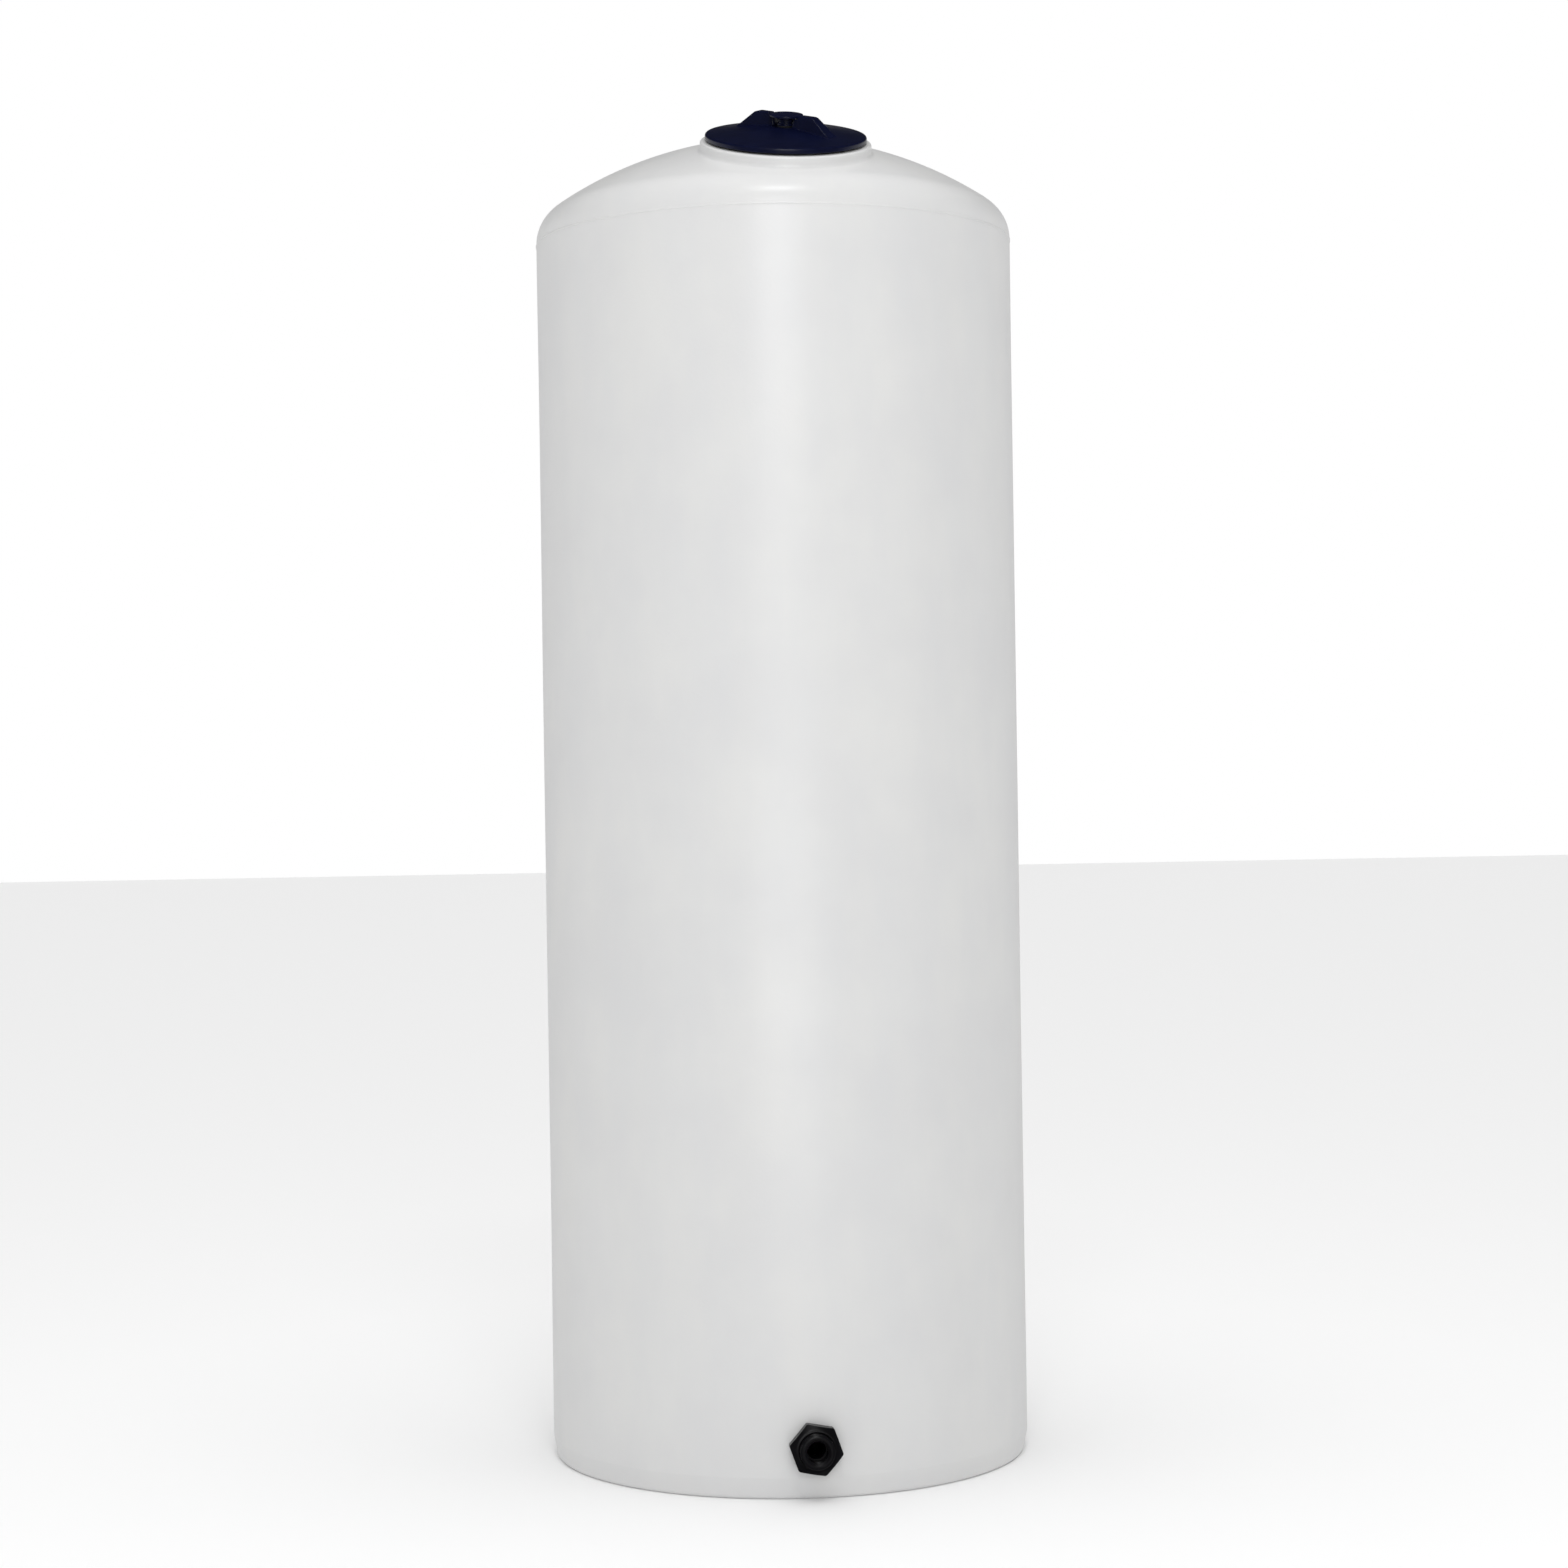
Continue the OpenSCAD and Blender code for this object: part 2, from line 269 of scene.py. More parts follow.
def add_surroundings():
    """White studio: its soft boxes, a bright ceiling and a pale floor. The ceiling and the floor leave
    no reflections, as in the photograph."""
    add_world()
    for name, (place, target, size, power) in SOFT_BOXES.items():
        add_area_light(name, place, target, size, power)
    sun = bpy.data.lights.new("ceiling", "SUN")
    sun.energy = CEILING_STRENGTH
    sun.angle = CEILING_SPREAD
    ceiling = bpy.data.objects.new("ceiling", sun)
    ceiling.visible_glossy = False
    scene.collection.objects.link(ceiling)
    corners = [(x * FLOOR_REACH, y * FLOOR_REACH, 0) for x, y in ((-1, -1), (1, -1), (1, 1), (-1, 1))]
    data = bpy.data.meshes.new("floor")
    data.from_pydata(corners, [], [(0, 1, 2, 3)])
    floor = bpy.data.objects.new("floor", data)
    scene.collection.objects.link(floor)
    floor.data.materials.append(plain_floor())
    floor.visible_glossy = False


# ---------------------------------------------------------------- materials

class Nodes:
    """Short hand for building a material's node tree."""

    def __init__(self, name):
        self.material = bpy.data.materials.new(name)
        self.material.use_nodes = True
        self.tree = self.material.node_tree
        self.shader = self.tree.nodes["Principled BSDF"]
        self.place = self.tree.nodes.new("ShaderNodeTexCoord").outputs["Object"]

    def add(self, kind, inputs=(), **settings):
        """New node, with its inputs given by name or number and its own settings by name."""
        node = self.tree.nodes.new(kind)
        for key, value in settings.items():
            setattr(node, key, value)
        for key, value in dict(inputs).items():
            feed(self.tree, node.inputs[key], value)
        return node

    def noise(self, size_mm, detail=2.0, roughness=0.5, place=None):
        """Noise whose blobs are about size_mm across."""
        return self.add("ShaderNodeTexNoise", {
            "Vector": place or self.place, "Scale": 1 / (size_mm * MM),
            "Detail": detail, "Roughness": roughness}).outputs["Fac"]

    def stretched(self, x, y, z):
        """The place, scaled along each axis. Streaks run along the axes with the smallest scale."""
        node = self.add("ShaderNodeMapping", {"Vector": self.place, "Scale": (x, y, z)})
        return node.outputs["Vector"]

    def spread(self, value, low, high, from_low=0.3, from_high=0.7):
        """Turns the middle of a noise's range into a softly clamped range from low to high."""
        return self.add("ShaderNodeMapRange", {
            "Value": value, "From Min": from_low, "From Max": from_high,
            "To Min": low, "To Max": high}, interpolation_type="SMOOTHSTEP").outputs["Result"]

    def mix(self, share, first, second):
        """Mixes two colours by a share."""
        return self.add("ShaderNodeMix", {0: share, 6: first, 7: second}, data_type="RGBA").outputs[2]

    def bump(self, height, depth_mm, below=None):
        """Bump of a depth, on top of the bump below it if there is one."""
        inputs = {"Height": height, "Distance": depth_mm * MM, "Strength": 1.0}
        if below is not None:
            inputs["Normal"] = below
        return self.add("ShaderNodeBump", inputs).outputs["Normal"]

    def finish(self, colour, roughness, normal=None, fixed=()):
        """The material, with its shader fed. What is fixed is the same all over the surface."""
        feed(self.tree, self.shader.inputs["Base Color"], colour)
        feed(self.tree, self.shader.inputs["Roughness"], roughness)
        if normal is not None:
            feed(self.tree, self.shader.inputs["Normal"], normal)
        for key, value in dict(fixed).items():
            self.shader.inputs[key].default_value = value
        return self.material


def rgb(red, green, blue):
    """Colour from 0 to 255 screen values."""
    def linear(value):
        share = value / 255
        return share / 12.92 if share <= 0.04045 else ((share + 0.055) / 1.055) ** 2.4
    return (linear(red), linear(green), linear(blue), 1)


def plain_floor():
    """Matt white."""
    return Nodes("floor").finish((0.95, 0.95, 0.95, 1), 0.8)


def natural_polyethylene():
    """Rotationally moulded wall: cloudy, satin, with a faint orange peel."""
    nodes = Nodes("natural_polyethylene")
    cloud = nodes.noise(160, 3.0, 0.55)
    streak = nodes.noise(60, 3.0, 0.6, nodes.stretched(1, 1, 0.25))
    colour = nodes.mix(nodes.spread(cloud, 0, 1), rgb(215, 215, 215), rgb(219, 219, 218))
    colour = nodes.mix(nodes.spread(streak, 0, 0.3), colour, rgb(211, 212, 214))
    roughness = nodes.spread(nodes.noise(90, 4.0, 0.6), 0.28, 0.32)
    peel = nodes.bump(nodes.noise(5.0, 2.0, 0.45), 0.10)
    grain = nodes.bump(nodes.noise(0.9, 1.0, 0.5), 0.02, peel)
    return nodes.finish(colour, roughness, grain)


def moulded_plastic(name, deep, pale, roughness, grain_mm, grain_depth_mm):
    """Dark moulded plastic with flow clouds, a fine grain and rubbed edges."""
    nodes = Nodes(name)
    cloud = nodes.noise(26, 2.0, 0.5)
    colour = nodes.mix(nodes.spread(cloud, 0, 1, 0.2, 0.8), deep, pale)
    edge = nodes.add("ShaderNodeNewGeometry").outputs["Pointiness"]
    worn = nodes.spread(edge, 0, 0.25, 0.53, 0.62)
    rubbed = tuple(min(1, 2.2 * value + 0.01) for value in pale[:3]) + (1,)
    colour = nodes.mix(worn, colour, rubbed)
    rough = nodes.spread(nodes.noise(14, 3.0, 0.5), roughness, roughness + 0.06, 0.2, 0.8)
    flow = nodes.bump(nodes.noise(7, 2.0, 0.5), 0.05)
    grain = nodes.bump(nodes.noise(grain_mm, 2.0, 0.6), grain_depth_mm, flow)
    return nodes.finish(colour, rough, grain, {"Specular IOR Level": 0.3})


def rubber():
    """Dull black rubber with a fine grain."""
    nodes = Nodes("seal_rubber")
    colour = nodes.mix(nodes.spread(nodes.noise(6, 4.0), 0, 1), rgb(22, 22, 23), rgb(38, 38, 38))
    normal = nodes.bump(nodes.noise(0.7, 3.0, 0.7), 0.03)
    return nodes.finish(colour, nodes.spread(nodes.noise(3, 3.0), 0.66, 0.82), normal)


def stainless():
    """Drawn stainless steel."""
    nodes = Nodes("screen_mesh")
    drawn = nodes.noise(1.5, 3.0, 0.6, nodes.stretched(1, 12, 1))
    colour = nodes.mix(nodes.spread(drawn, 0, 1), rgb(150, 150, 152), rgb(196, 196, 198))
    normal = nodes.bump(drawn, 0.01)
    return nodes.finish(colour, nodes.spread(drawn, 0.28, 0.42), normal, {"Metallic": 1.0})


# ---------------------------------------------------------------- mesh helpers

def rounded(corners, step=15.0, closed=True):
    """Outline through (x, y, radius) corners, each turned into an arc of its own radius."""
    points = []
    count = len(corners)
    for i, (x, y, radius) in enumerate(corners):
        here = Vector((x, y))
        if radius == 0 or (not closed and i in (0, count - 1)):
            points.append((x, y))
            continue
        back = (Vector(corners[i - 1][:2]) - here).normalized()
        ahead = (Vector(corners[(i + 1) % count][:2]) - here).normalized()
        half = back.angle(ahead) / 2
        centre = here + (back + ahead).normalized() * (radius / sin(half))
        first = here + back * (radius / tan(half)) - centre
        last = here + ahead * (radius / tan(half)) - centre
        turn = first.angle_signed(last)
        steps = max(2, ceil(abs(degrees(turn)) / step))
        for k in range(steps + 1):
            arm = first.copy()
            arm.rotate(Matrix.Rotation(-turn * k / steps, 2))
            points.append(tuple(centre + arm))
    return points


def refined(outline, longest):
    """Closed outline, as vectors, with every side longer than longest cut into equal pieces."""
    points = []
    for first, last in zip(outline, outline[1:] + outline[:1]):
        a, b = Vector(first), Vector(last)
        steps = max(1, ceil((b - a).length / longest))
        points += [a.lerp(b, k / steps) for k in range(steps)]
    return points


def thread_wave(turns):
    """Height of a round-crested pipe thread, from 0 at its root to 1 at its crest."""
    return 0.5 + 0.5 * cos(2 * pi * turns)


def grid_mesh(name, rows, closed_rows=True):
    """Mesh through rows of points. Each row is a closed loop and is joined to the next one by faces,
    and the last row is joined to the first one if the rows are closed."""
    columns = len(rows[0])
    points = [point for row in rows for point in row]
    faces = []
    for i in range(len(rows) if closed_rows else len(rows) - 1):
        low, high = i * columns, (i + 1) % len(rows) * columns
        for k in range(columns):
            after = (k + 1) % columns
            faces.append((low + k, low + after, high + after, high + k))
    mesh = bpy.data.meshes.new(name)
    mesh.from_pydata(points, [], faces)
    return mesh


def capped(mesh, count):
    """Closes both ends of a shape swept from an outline of count points with a face each."""
    shape = bmesh.new()
    shape.from_mesh(mesh)
    shape.verts.ensure_lookup_table()
    for first in (0, len(shape.verts) - count):
        shape.faces.new([shape.verts[first + k] for k in range(count)])
    shape.to_mesh(mesh)
    shape.free()
    return mesh


def clean(mesh):
    """Merges doubled points, drops faces with no area and turns all faces outwards."""
    shape = bmesh.new()
    shape.from_mesh(mesh)
    bmesh.ops.remove_doubles(shape, verts=shape.verts, dist=1e-4)
    bmesh.ops.dissolve_degenerate(shape, edges=shape.edges, dist=1e-5)
    bmesh.ops.recalc_face_normals(shape, faces=shape.faces)
    shape.to_mesh(mesh)
    shape.free()


def solid(name, mesh, place):
    """Object with the mesh put in its place in the scene."""
    clean(mesh)
    mesh.transform(place)
    obj = bpy.data.objects.new(name, mesh)
    scene.collection.objects.link(obj)
    return obj


def lathe(name, outline, place, segments=128, pitch=1):
    """Solid of revolution from a closed (radius, height) outline, or from one that starts and ends on
    the axis. A third number in a point is the depth of a screw thread added to its radius."""
    rows = []
    for point in outline:
        radius, height = point[:2]
        depth = point[2] if len(point) > 2 else 0
        row = []
        for k in range(segments):
            share = k / segments
            reach = radius + depth * thread_wave(height / pitch - share)
            row.append((reach * cos(2 * pi * share), reach * sin(2 * pi * share), height))
        rows.append(row)
    on_axis = abs(outline[0][0]) < 1e-6 and abs(outline[-1][0]) < 1e-6
    return solid(name, grid_mesh(name, rows, closed_rows=not on_axis), place)


def baked(obj):
    """Applies the object's modifiers."""
    bpy.context.view_layer.update()
    result = bpy.data.meshes.new_from_object(obj.evaluated_get(bpy.context.evaluated_depsgraph_get()))
    obj.modifiers.clear()
    obj.data = result
    return obj


def combined(obj, other, operation):
    """Adds or cuts another solid, which is used up."""
    modifier = obj.modifiers.new("combine", "BOOLEAN")
    modifier.operation = operation
    modifier.solver = "EXACT"
    modifier.object = other
    baked(obj)
    bpy.data.objects.remove(other)
    return obj


def softened(obj, width_mm, sharp_angle=25):
    """Small round along every edge sharper than the angle."""
    modifier = obj.modifiers.new("round", "BEVEL")
    modifier.width = width_mm * MM
    modifier.segments = 2
    modifier.limit_method = "ANGLE"
    modifier.angle_limit = radians(sharp_angle)
    return baked(obj)


def shaded(obj, sharp_angle=40):
    """Smooth shading that keeps flat faces flat and sharp edges sharp."""
    obj.data.polygons.foreach_set("use_smooth", [True] * len(obj.data.polygons))
    obj.data.set_sharp_from_angle(angle=radians(sharp_angle))
    modifier = obj.modifiers.new("normals", "WEIGHTED_NORMAL")
    modifier.keep_sharp = True
    return baked(obj)


def finished(obj, body, slot, material, *nodes):
    """Gives a piece its material and body, and hides the CAD nodes it stands for. Its slot is not used.
    """
    obj.data.materials.clear()
    obj.data.materials.append(material)
    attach(obj, body)
    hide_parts(*nodes)
    return obj


def screw_rib(name, wall_r, crest_r, start, turns, place):
    """Helical rib on a round wall, with its root sunk into the wall. Over the first and the last steps,
    runout of them, it rises from the wall and sinks back."""
    steps_per_turn, runout = 96, 14
    foot, crown, soft, sunk = 1.8, 1.0, 0.35, 1.0
    side = 1 if crest_r > wall_r else -1
    steps = round(steps_per_turn * turns)
    rows = []
    for i in range(steps + 1):
        rise = sin(pi / 2 * min(1, i / runout, (steps - i) / runout))
        height = abs(crest_r - wall_r) * rise
        angle = 2 * pi * i / steps_per_turn
        section = [(-sunk, -foot), (0, -foot), (height - soft * rise, -crown), (height, -crown + soft),
                   (height, crown - soft), (height - soft * rise, crown), (0, foot), (-sunk, foot)]
        rows.append([((wall_r + side * out) * cos(angle), (wall_r + side * out) * sin(angle),
                      start + across + PITCH * i / steps_per_turn) for out, across in section])
    return solid(name, capped(grid_mesh(name, rows, closed_rows=False), len(rows[0])), place)


# ---------------------------------------------------------------- tank

TANK_COLUMNS = 288
BASE_ROWS = 6
SHOULDER_ROWS = 10
CROWN_ROWS = 28
CROWN_ROWS_INSIDE = 14
FILLET_ROWS = 8
BASE_RINGS = [0, 150, 300, 330]

# Heights of the wall's rows: close together round the outlet's hole, and wide apart above it
WALL_HEIGHTS = [BASE_H - 1.5, BASE_H + 1.5] + list(range(34, 120, 5))
WALL_HEIGHTS += list(range(135, SEAM_H - 60, 45)) + [SEAM_H - 20, SEAM_H - 8]

# Height from the parting line, and the share of SEAM_PROUD that the ridge reaches there
SEAM_RIDGE = [(-3.2, 0), (-1.8, 1 / 16), (-0.9, 9 / 16), (-0.35, 1), (0.35, 1), (0.9, 9 / 16),
              (1.8, 1 / 16)]


def wall_wave(angle, height):
    """Faint unevenness of the moulded wall, from 0 to 1. It fades out over some distance towards the
    base and the parting line."""
    fade, above_base, below_seam = 150, 150, 40
    calm = min(1, max(0, (height - above_base) / fade), max(0, (SEAM_H - below_seam - height) / fade))
    wave = (sin(2 * angle + height / 210) + sin(3 * angle - height / 160 + 1.3)
            + sin(5 * angle + height / 95 + 2.1) * 0.5)
    return calm * (0.5 + wave / 5)


def neck_place(radius, angle, height):
    """Point on the neck, in the tank's millimetres."""
    return ON_NECK @ Vector((radius * cos(angle), radius * sin(angle), height)) / MM


def crown_row(sphere_r, share, columns, inner_angle):
    """Row on the crown between the neck, at share 0, and the shoulder, at share 1. Each column is an
    angle round the neck's axis and the angle from that axis at which the shoulder starts."""
    row = []
    for angle, edge_angle in columns:
        polar = inner_angle + (edge_angle - inner_angle) * share
        away = cos(angle) * NECK_X + sin(angle) * NECK_Y
        direction = cos(polar) * NECK_AXIS + sin(polar) * away
        row.append(Vector((0, 0, CROWN_Z)) + sphere_r * direction)
    return row


def tank_rows():
    """Rows of the shell's outline: up the wall, over the crown, down the neck's bore, and back inside.
    The columns run straight up the wall and fan in over the crown to the sloping neck."""
    turns = [2 * pi * k / TANK_COLUMNS for k in range(TANK_COLUMNS)]
    columns = []
    for turn in turns:
        edge = Vector((cos(BLEND_ANGLE) * cos(turn), cos(BLEND_ANGLE) * sin(turn), sin(BLEND_ANGLE)))
        columns.append((atan2(edge.dot(NECK_Y), edge.dot(NECK_X)), edge.angle(NECK_AXIS)))

    def ring(radius, height, uneven=0):
        reaches = [radius - uneven * wall_wave(turn, height) for turn in turns]
        return [(reach * cos(turn), reach * sin(turn), height) for reach, turn in zip(reaches, turns)]

    def wall(inset):
        """Rows over the base and up the wall, moved inwards by inset."""
        rows = [ring(radius, inset) for radius in BASE_RINGS]
        reach = BASE_ROUND - inset
        for k in range(BASE_ROWS + 1):
            angle = pi / 2 * k / BASE_ROWS
            rows.append(ring(BODY_R - BASE_DRAW - BASE_ROUND + reach * sin(angle),
                             BASE_ROUND - reach * cos(angle)))
        rows.append(ring(BODY_R - inset - BASE_DRAW / 2, (BASE_ROUND + BASE_H) / 2))
        rows += [ring(BODY_R - inset, height, WAVE_DEPTH) for height in WALL_HEIGHTS]
        return rows

    def shoulder(inset):
        radius = SHOULDER_R - inset
        angles = [BLEND_ANGLE * k / SHOULDER_ROWS for k in range(SHOULDER_ROWS)]
        return [ring(SHOULDER_X + radius * cos(angle), SHOULDER_Z + radius * sin(angle))
                for angle in angles]

    rows = wall(0)
    rows += [ring(BODY_R + share * SEAM_PROUD, SEAM_H + up) for up, share in SEAM_RIDGE]
    rows += shoulder(0)
    fillet_r = COLLAR_R + COLLAR_FILLET
    fillet_z = sqrt((CROWN_R + COLLAR_FILLET) ** 2 - fillet_r ** 2) - CROWN_R
    outer_angle = asin(fillet_r / (CROWN_R + COLLAR_FILLET))
    rows += [crown_row(CROWN_R, 1 - k / CROWN_ROWS, columns, outer_angle)
             for k in range(CROWN_ROWS + 1)]

    # The neck: a fillet from the crown to the collar, then the collar, the sleeve and the groove
    neck = []
    low_turn = atan2(-(CROWN_R + fillet_z), -fillet_r) + 2 * pi
    for k in range(1, FILLET_ROWS + 1):
        angle = low_turn + (pi - low_turn) * k / FILLET_ROWS
        neck.append((fillet_r + COLLAR_FILLET * cos(angle), fillet_z + COLLAR_FILLET * sin(angle)))
    groove_r = COLLAR_R - WALL
    groove_z = COLLAR_TOP - WALL
    inside_z = sqrt((CROWN_R - WALL) ** 2 - groove_r ** 2) - CROWN_R
    neck += rounded([
        (COLLAR_R, groove_z, 0), (COLLAR_R, COLLAR_TOP, 3.5), (BORE_R, COLLAR_TOP, 1.5),
        (BORE_R, SLEEVE_END, 1.5), (SLEEVE_R, SLEEVE_END, 1.5), (SLEEVE_R, groove_z, 3),
        (groove_r, groove_z, 3), (groove_r, inside_z, 0)], closed=False)
    rows += [[neck_place(radius, angle, height) for angle, _ in columns] for radius, height in neck]

    inner_angle = asin(groove_r / (CROWN_R - WALL))
    rows += [crown_row(CROWN_R - WALL, k / CROWN_ROWS_INSIDE, columns, inner_angle)
             for k in range(1, CROWN_ROWS_INSIDE + 1)]
    rows += reversed(shoulder(WALL))
    rows += reversed(wall(WALL))
    return rows


def make_tank():
    """Hollow shell with the outlet's hole and the thread in its neck."""
    mesh = grid_mesh("tank_shell_skin", tank_rows(), closed_rows=False)
    tank = solid("tank_shell_skin", mesh, UPRIGHT)
    inner, outer = BODY_R - 50, BODY_R + 50
    rod = [(0, inner), (WALL_HOLE_R, inner), (WALL_HOLE_R, outer), (0, outer)]
    hole = lathe("hole", rod, ON_OUTLET)
    combined(tank, hole, "DIFFERENCE")
    rib = screw_rib("rib", BORE_R, NECK_CREST_R, RIB_START, 2, ON_NECK)
    combined(tank, rib, "UNION")
    shaded(tank)
    return finished(tank, "tank", "natural_polyethylene", natural_polyethylene(), "tank_shell")


# ---------------------------------------------------------------- lid

def cone_height(distance):
    """Top of the lid's cone at a distance from its middle."""
    slope = (HUB_Z - RIM_TOP_Z) / (LID_R - HUB_R)
    return HUB_Z - slope * max(0, distance - HUB_R)


def grip_wing(name, turn):
    """One grip wing with drafted sides, a soft foot and a top that slopes down to the cone. Its inner
    end steps down to pass under the breather's cap. The flare is the fillet at its foot, the edge is
    the round along its top, and its underside is sunk into the cone."""
    flare, edge, sunk = 2.4, 1.7, 1.5
    foot_turn = radians(15)
    slope = (cone_height(GRIP_FOOT) - GRIP_CORNER_Z) / (GRIP_FOOT - GRIP_CORNER)
    # The wing runs on inside the cone past its foot
    end = GRIP_FOOT + 6
    crest = rounded([(0, GRIP_ROOT_Z, 0), (GRIP_IN - 0.8, GRIP_ROOT_Z, 0.4),
                     (GRIP_IN, GRIP_TOP_Z, 1), (GRIP_FLAT, GRIP_TOP_Z, 9),
                     (GRIP_CORNER, GRIP_CORNER_Z, 3),
                     (end, GRIP_CORNER_Z + slope * (end - GRIP_CORNER), 0)], closed=False)
    plan = refined(rounded([(GRIP_ROOT, -GRIP_HALF_T, 1.4), (end, -GRIP_HALF_T, 3),
                            (end, GRIP_HALF_T, 3), (GRIP_ROOT, GRIP_HALF_T, 1.4)]), 0.8)

    def top(along):
        """Height of the crest at a distance from the lid's middle."""
        for (low, low_z), (high, high_z) in zip(crest, crest[1:]):
            if along <= high:
                return low_z + (high_z - low_z) * (along - low) / (high - low)
        return crest[-1][1]

    def row(outwards, from_foot, from_top):
        """Points moved outwards, at a height over the cone or, if from_foot is None, under the top."""
        points = []
        for i, point in enumerate(plan):
            along = (plan[(i + 1) % len(plan)] - plan[i - 1]).normalized()
            normal = Vector((along.y, -along.x))
            ground = cone_height(point.length)
            crown = max(top(point.x), ground - sunk * 0.8)
            soft = min(1, max(0, crown - ground) / (flare + edge))
            low = min(ground, crown) if from_foot is not None else crown
            spread = outwards * soft + (GRIP_TOP_Z - low) * tan(GRIP_DRAFT)
            spot = point + normal * spread
            if from_foot is None:
                height = crown - from_top * soft
            else:
                height = min(cone_height(spot.length) + from_foot * soft, crown)
            points.append((spot.x, spot.y, height))
        return points

    base = [(x, y, z - 0.6) for x, y, z in row(flare + 0.5, -sunk, None)]
    rows = [[(x, 0, z) for x, y, z in base], base]
    for k in range(6):
        turned = foot_turn + (pi / 2 - foot_turn) * k / 5
        rows.append(row(flare * (1 - sin(turned)), flare * (1 - cos(turned)), None))
    for k in range(6):
        turned = pi / 2 * k / 5
        rows.append(row(-edge * (1 - cos(turned)), None, edge * (1 - sin(turned))))
    rows += [[(x, y * share, z) for x, y, z in rows[-1]] for share in (0.66, 0.33, 0)]
    place = ON_NECK @ Matrix.Rotation(turn, 4, "Z")
    return solid(name, grid_mesh(name, rows, closed_rows=False), place)


def make_lid(plastic):
    """Lid with its skirt, its thread and its two wings."""
    outline = rounded([
        (VENT_HOLE_R, HUB_Z - LID_T, 0.3), (HUB_R - 2, HUB_Z - LID_T, 3),
        (SKIRT_R - SKIRT_T, RIM_TOP_Z - LID_T + 1, 3), (SKIRT_R - SKIRT_T, SKIRT_END, 1.2),
        (SKIRT_R, SKIRT_END, 1.6), (SKIRT_R, RIM_Z, 0.8), (LID_R, RIM_Z, 0.9),
        (LID_R, RIM_TOP_Z, 3.2), (HUB_R, HUB_Z, 5), (VENT_HOLE_R, HUB_Z, 0.4)])
    lid = lathe("lid_moulding", outline, ON_NECK, 256)
    rib = screw_rib("rib", SKIRT_R, LID_CREST_R, RIB_START + PITCH / 2, 1.5, ON_NECK)
    combined(lid, rib, "UNION")
    for name, turn in (("wing_near", GRIP_ANGLE), ("wing_far", GRIP_ANGLE + pi)):
        combined(lid, grip_wing(name, turn), "UNION")
    shaded(lid, 50)
    return finished(lid, "lid", "navy_plastic", plastic, "lid")


def make_breather(plastic):
    """Ringed stem and the domed cap on its three legs."""
    corners = [(CHAMBER_R, STEM_END_Z, 0.3), (THREAD_R, STEM_END_Z, 0.5), (THREAD_R, FOOT_Z, 0.1)]
    for i, radius in enumerate(RING_R):
        soft = 0.7 if i % 2 == 0 else 0.4
        corners.append((radius, FOOT_Z + i * RING_H, soft))
        corners.append((radius, FOOT_Z + (i + 1) * RING_H, soft))
    guide_z = STEM_TOP_Z - GUIDE_H
    corners += [(GUIDE_R, STEM_TOP_Z, 0.5), (GUIDE_R, guide_z, 0.3), (CHAMBER_R, guide_z, 0.3)]
    stem = shaded(lathe("breather_stem", rounded(corners, 30), ON_NECK, 96))
    finished(stem, "lid", "navy_plastic", plastic, "breather_body")

    # The cap's underside, its skirt, then its domed top with a shallow dish in the middle
    crown = CAP_Z + CAP_H
    hollow_r, hollow_z = 20.5, CAP_Z + 1.2
    dome_r, dish_r = 14, 9
    dome = rounded([
        (0, hollow_z, 0), (hollow_r, hollow_z, 0.8), (hollow_r + 0.7, CAP_Z, 0.4), (CAP_R, CAP_Z, 0.7),
        (CAP_R, CAP_Z + CAP_EDGE, 1.3), (dome_r, crown - 0.4, 12), (dish_r + 0.5, crown - 0.3, 0.5),
        (dish_r, crown - 0.7, 0.5), (0, crown - 0.6, 0)], closed=False)
    cap = lathe("breather_dome", dome, ON_NECK, 128)
    for k in range(3):
        combined(cap, cap_leg("leg", 2 * pi * k / 3), "UNION")
    shaded(cap)
    finished(cap, "breather_cap", "navy_plastic", plastic, "breather_cap")


def cap_leg(name, turn):
    """Springy leg with a barb at its foot, a slice of a ring."""
    half_width, steps = radians(18), 6
    barb_top = BARB_Z + 1.5
    root_z = CAP_Z + 2
    outline = rounded([
        (LEG_IN_R, BARB_Z, 0.3), (BARB_R - 0.8, BARB_Z, 0.3), (BARB_R, barb_top - 0.4, 0.3),
        (BARB_R, barb_top, 0.2), (LEG_OUT_R, barb_top, 0.3), (LEG_OUT_R, root_z, 0),
        (LEG_IN_R, root_z, 0)])
    rows = []
    for k in range(steps + 1):
        angle = half_width * (2 * k / steps - 1)
        rows.append([(r * cos(angle), r * sin(angle), z) for r, z in outline])
    mesh = capped(grid_mesh(name, rows, closed_rows=False), len(outline))
    return solid(name, mesh, ON_NECK @ Matrix.Rotation(turn, 4, "Z"))


# ---------------------------------------------------------------- outlet

def threaded(crest_r, start, end, outside):
    """Points of a pipe thread along a spigot or, if not outside, in a bore, faded in at both ends."""
    steps_per_turn, fade = 8, 2.0
    steps = round(abs(end - start) / PIPE_PITCH * steps_per_turn)
    points = []
    for k in range(steps + 1):
        height = start + (end - start) * k / steps
        depth = PIPE_DEPTH * min(1, abs(height - start) / fade, abs(end - height) / fade)
        points.append((crest_r - depth if outside else crest_r, height, depth))
    return points


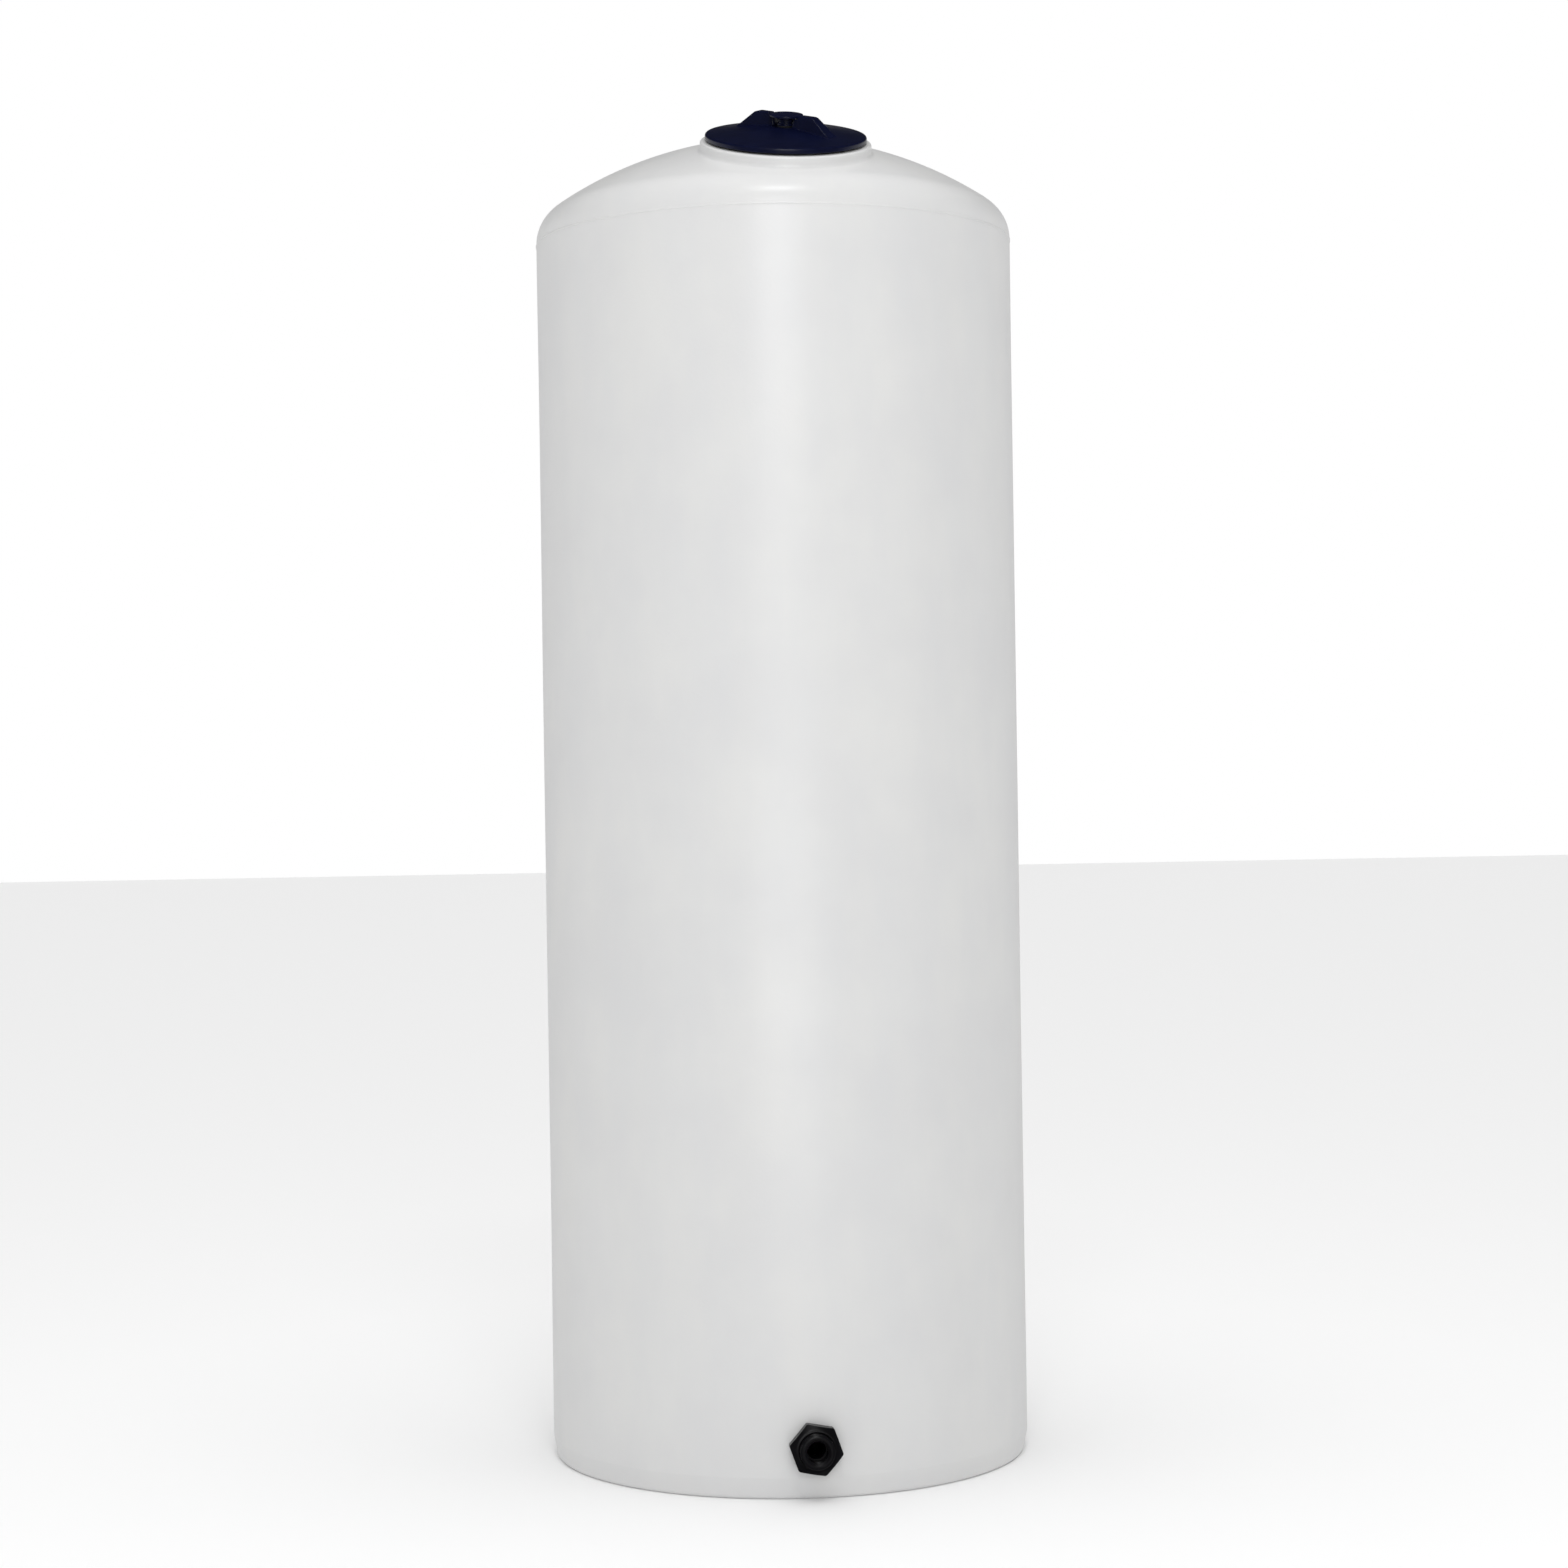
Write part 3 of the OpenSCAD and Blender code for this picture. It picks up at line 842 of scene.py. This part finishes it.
def make_outlet(plastic):
    """Flanged spigot with its outside and inside threads, and the nut on it."""
    thread_start = NUT_Y + 8
    bore_end = SPIGOT_END_Y - BORE_DEPTH
    mouth_r, throat_r = 18.2, 16
    outline = rounded([(WAY_R, FLANGE_Y, 0), (FLANGE_R, FLANGE_Y, 1.5), (FLANGE_R, GASKET_Y, 0.6),
                       (SPIGOT_R, GASKET_Y, 0.4), (SPIGOT_R, thread_start - 1, 0)], closed=False)
    outline += threaded(SPIGOT_R, thread_start, SPIGOT_END_Y - 1.6, outside=True)
    outline += rounded([(SPIGOT_R, SPIGOT_END_Y - 1.5, 0), (SPIGOT_R - 1, SPIGOT_END_Y - 0.7, 0.5),
                        (SPIGOT_R - 2.8, SPIGOT_END_Y, 2), (mouth_r, SPIGOT_END_Y, 0.6),
                        (throat_r, SPIGOT_END_Y - 1.6, 0)], 10, closed=False)
    outline += threaded(BORE_CREST_R, SPIGOT_END_Y - 1.8, bore_end + 1, outside=False)
    outline += rounded([(BORE_CREST_R, bore_end, 0.3), (WAY_R, bore_end, 0.3),
                        (WAY_R, FLANGE_Y + 1, 0)], closed=False)
    spigot = lathe("outlet_spigot", outline, ON_OUTLET, 160, PIPE_PITCH)
    finished(shaded(spigot), "tank", "black_polypropylene", plastic, "outlet_body")
    finished(shaded(softened(hex_nut("outlet_backnut"), 0.5)), "tank", "black_polypropylene",
             plastic, "outlet_nut")


def hex_nut(name):
    """Hexagonal nut with rounded corners, a chamfered front and a crowned face round its bore."""
    corner_r = NUT_AF / 2 / cos(pi / 6)
    face_r = NUT_AF / 2 - 2
    bore_r = SPIGOT_R + 0.1
    crown_w, crown_h, corner_round = 5, 1.6, 4
    chamfer = tan(radians(30))
    front = NUT_Y + NUT_H
    angles = [NUT_TURN + pi / 3 * k for k in range(6)]
    hexagon = [(corner_r * cos(angle), corner_r * sin(angle), corner_round) for angle in angles]
    outline = refined(rounded(hexagon, 10), 2.5)
    rows = []

    def circle(radius, height):
        rows.append([(radius * p.x / p.length, radius * p.y / p.length, height) for p in outline])

    circle(bore_r, NUT_Y + 1)
    circle(bore_r + 1, NUT_Y)
    rows.append([(p.x * 0.985, p.y * 0.985, NUT_Y) for p in outline])
    rows.append([(p.x, p.y, NUT_Y + 0.6) for p in outline])
    rows.append([(p.x, p.y, front - crown_h - max(0.3, (p.length - face_r) * chamfer))
                 for p in outline])
    for k in range(7):
        share = 1 - k / 6
        circle(face_r - crown_w * (1 - share), front - crown_h * share ** 2)
    circle(bore_r + 1.2, front)
    circle(bore_r, front - 1.2)
    return solid(name, grid_mesh(name, rows), ON_OUTLET)


# ---------------------------------------------------------------- assembly

add_camera()
add_surroundings()
scene.view_settings.view_transform = "Standard"

navy = moulded_plastic("navy_plastic", rgb(8, 12, 38), rgb(11, 16, 45), 0.28, 0.8, 0.012)
black = moulded_plastic("black_polypropylene", rgb(10, 9, 12), rgb(16, 15, 19), 0.29, 0.8, 0.02)
seal = rubber()

make_tank()
make_lid(navy)
make_breather(navy)
make_outlet(black)

KEPT_NODES = {
    "lid_seal": seal, "breather_gasket": seal, "breather_nut": navy, "breather_screen": stainless(),
    "outlet_inner_gasket": seal, "outlet_outer_washer": seal,
}
for node, material in KEPT_NODES.items():
    data = frame["nodes"][node].data
    data.materials.clear()
    data.materials.append(material)
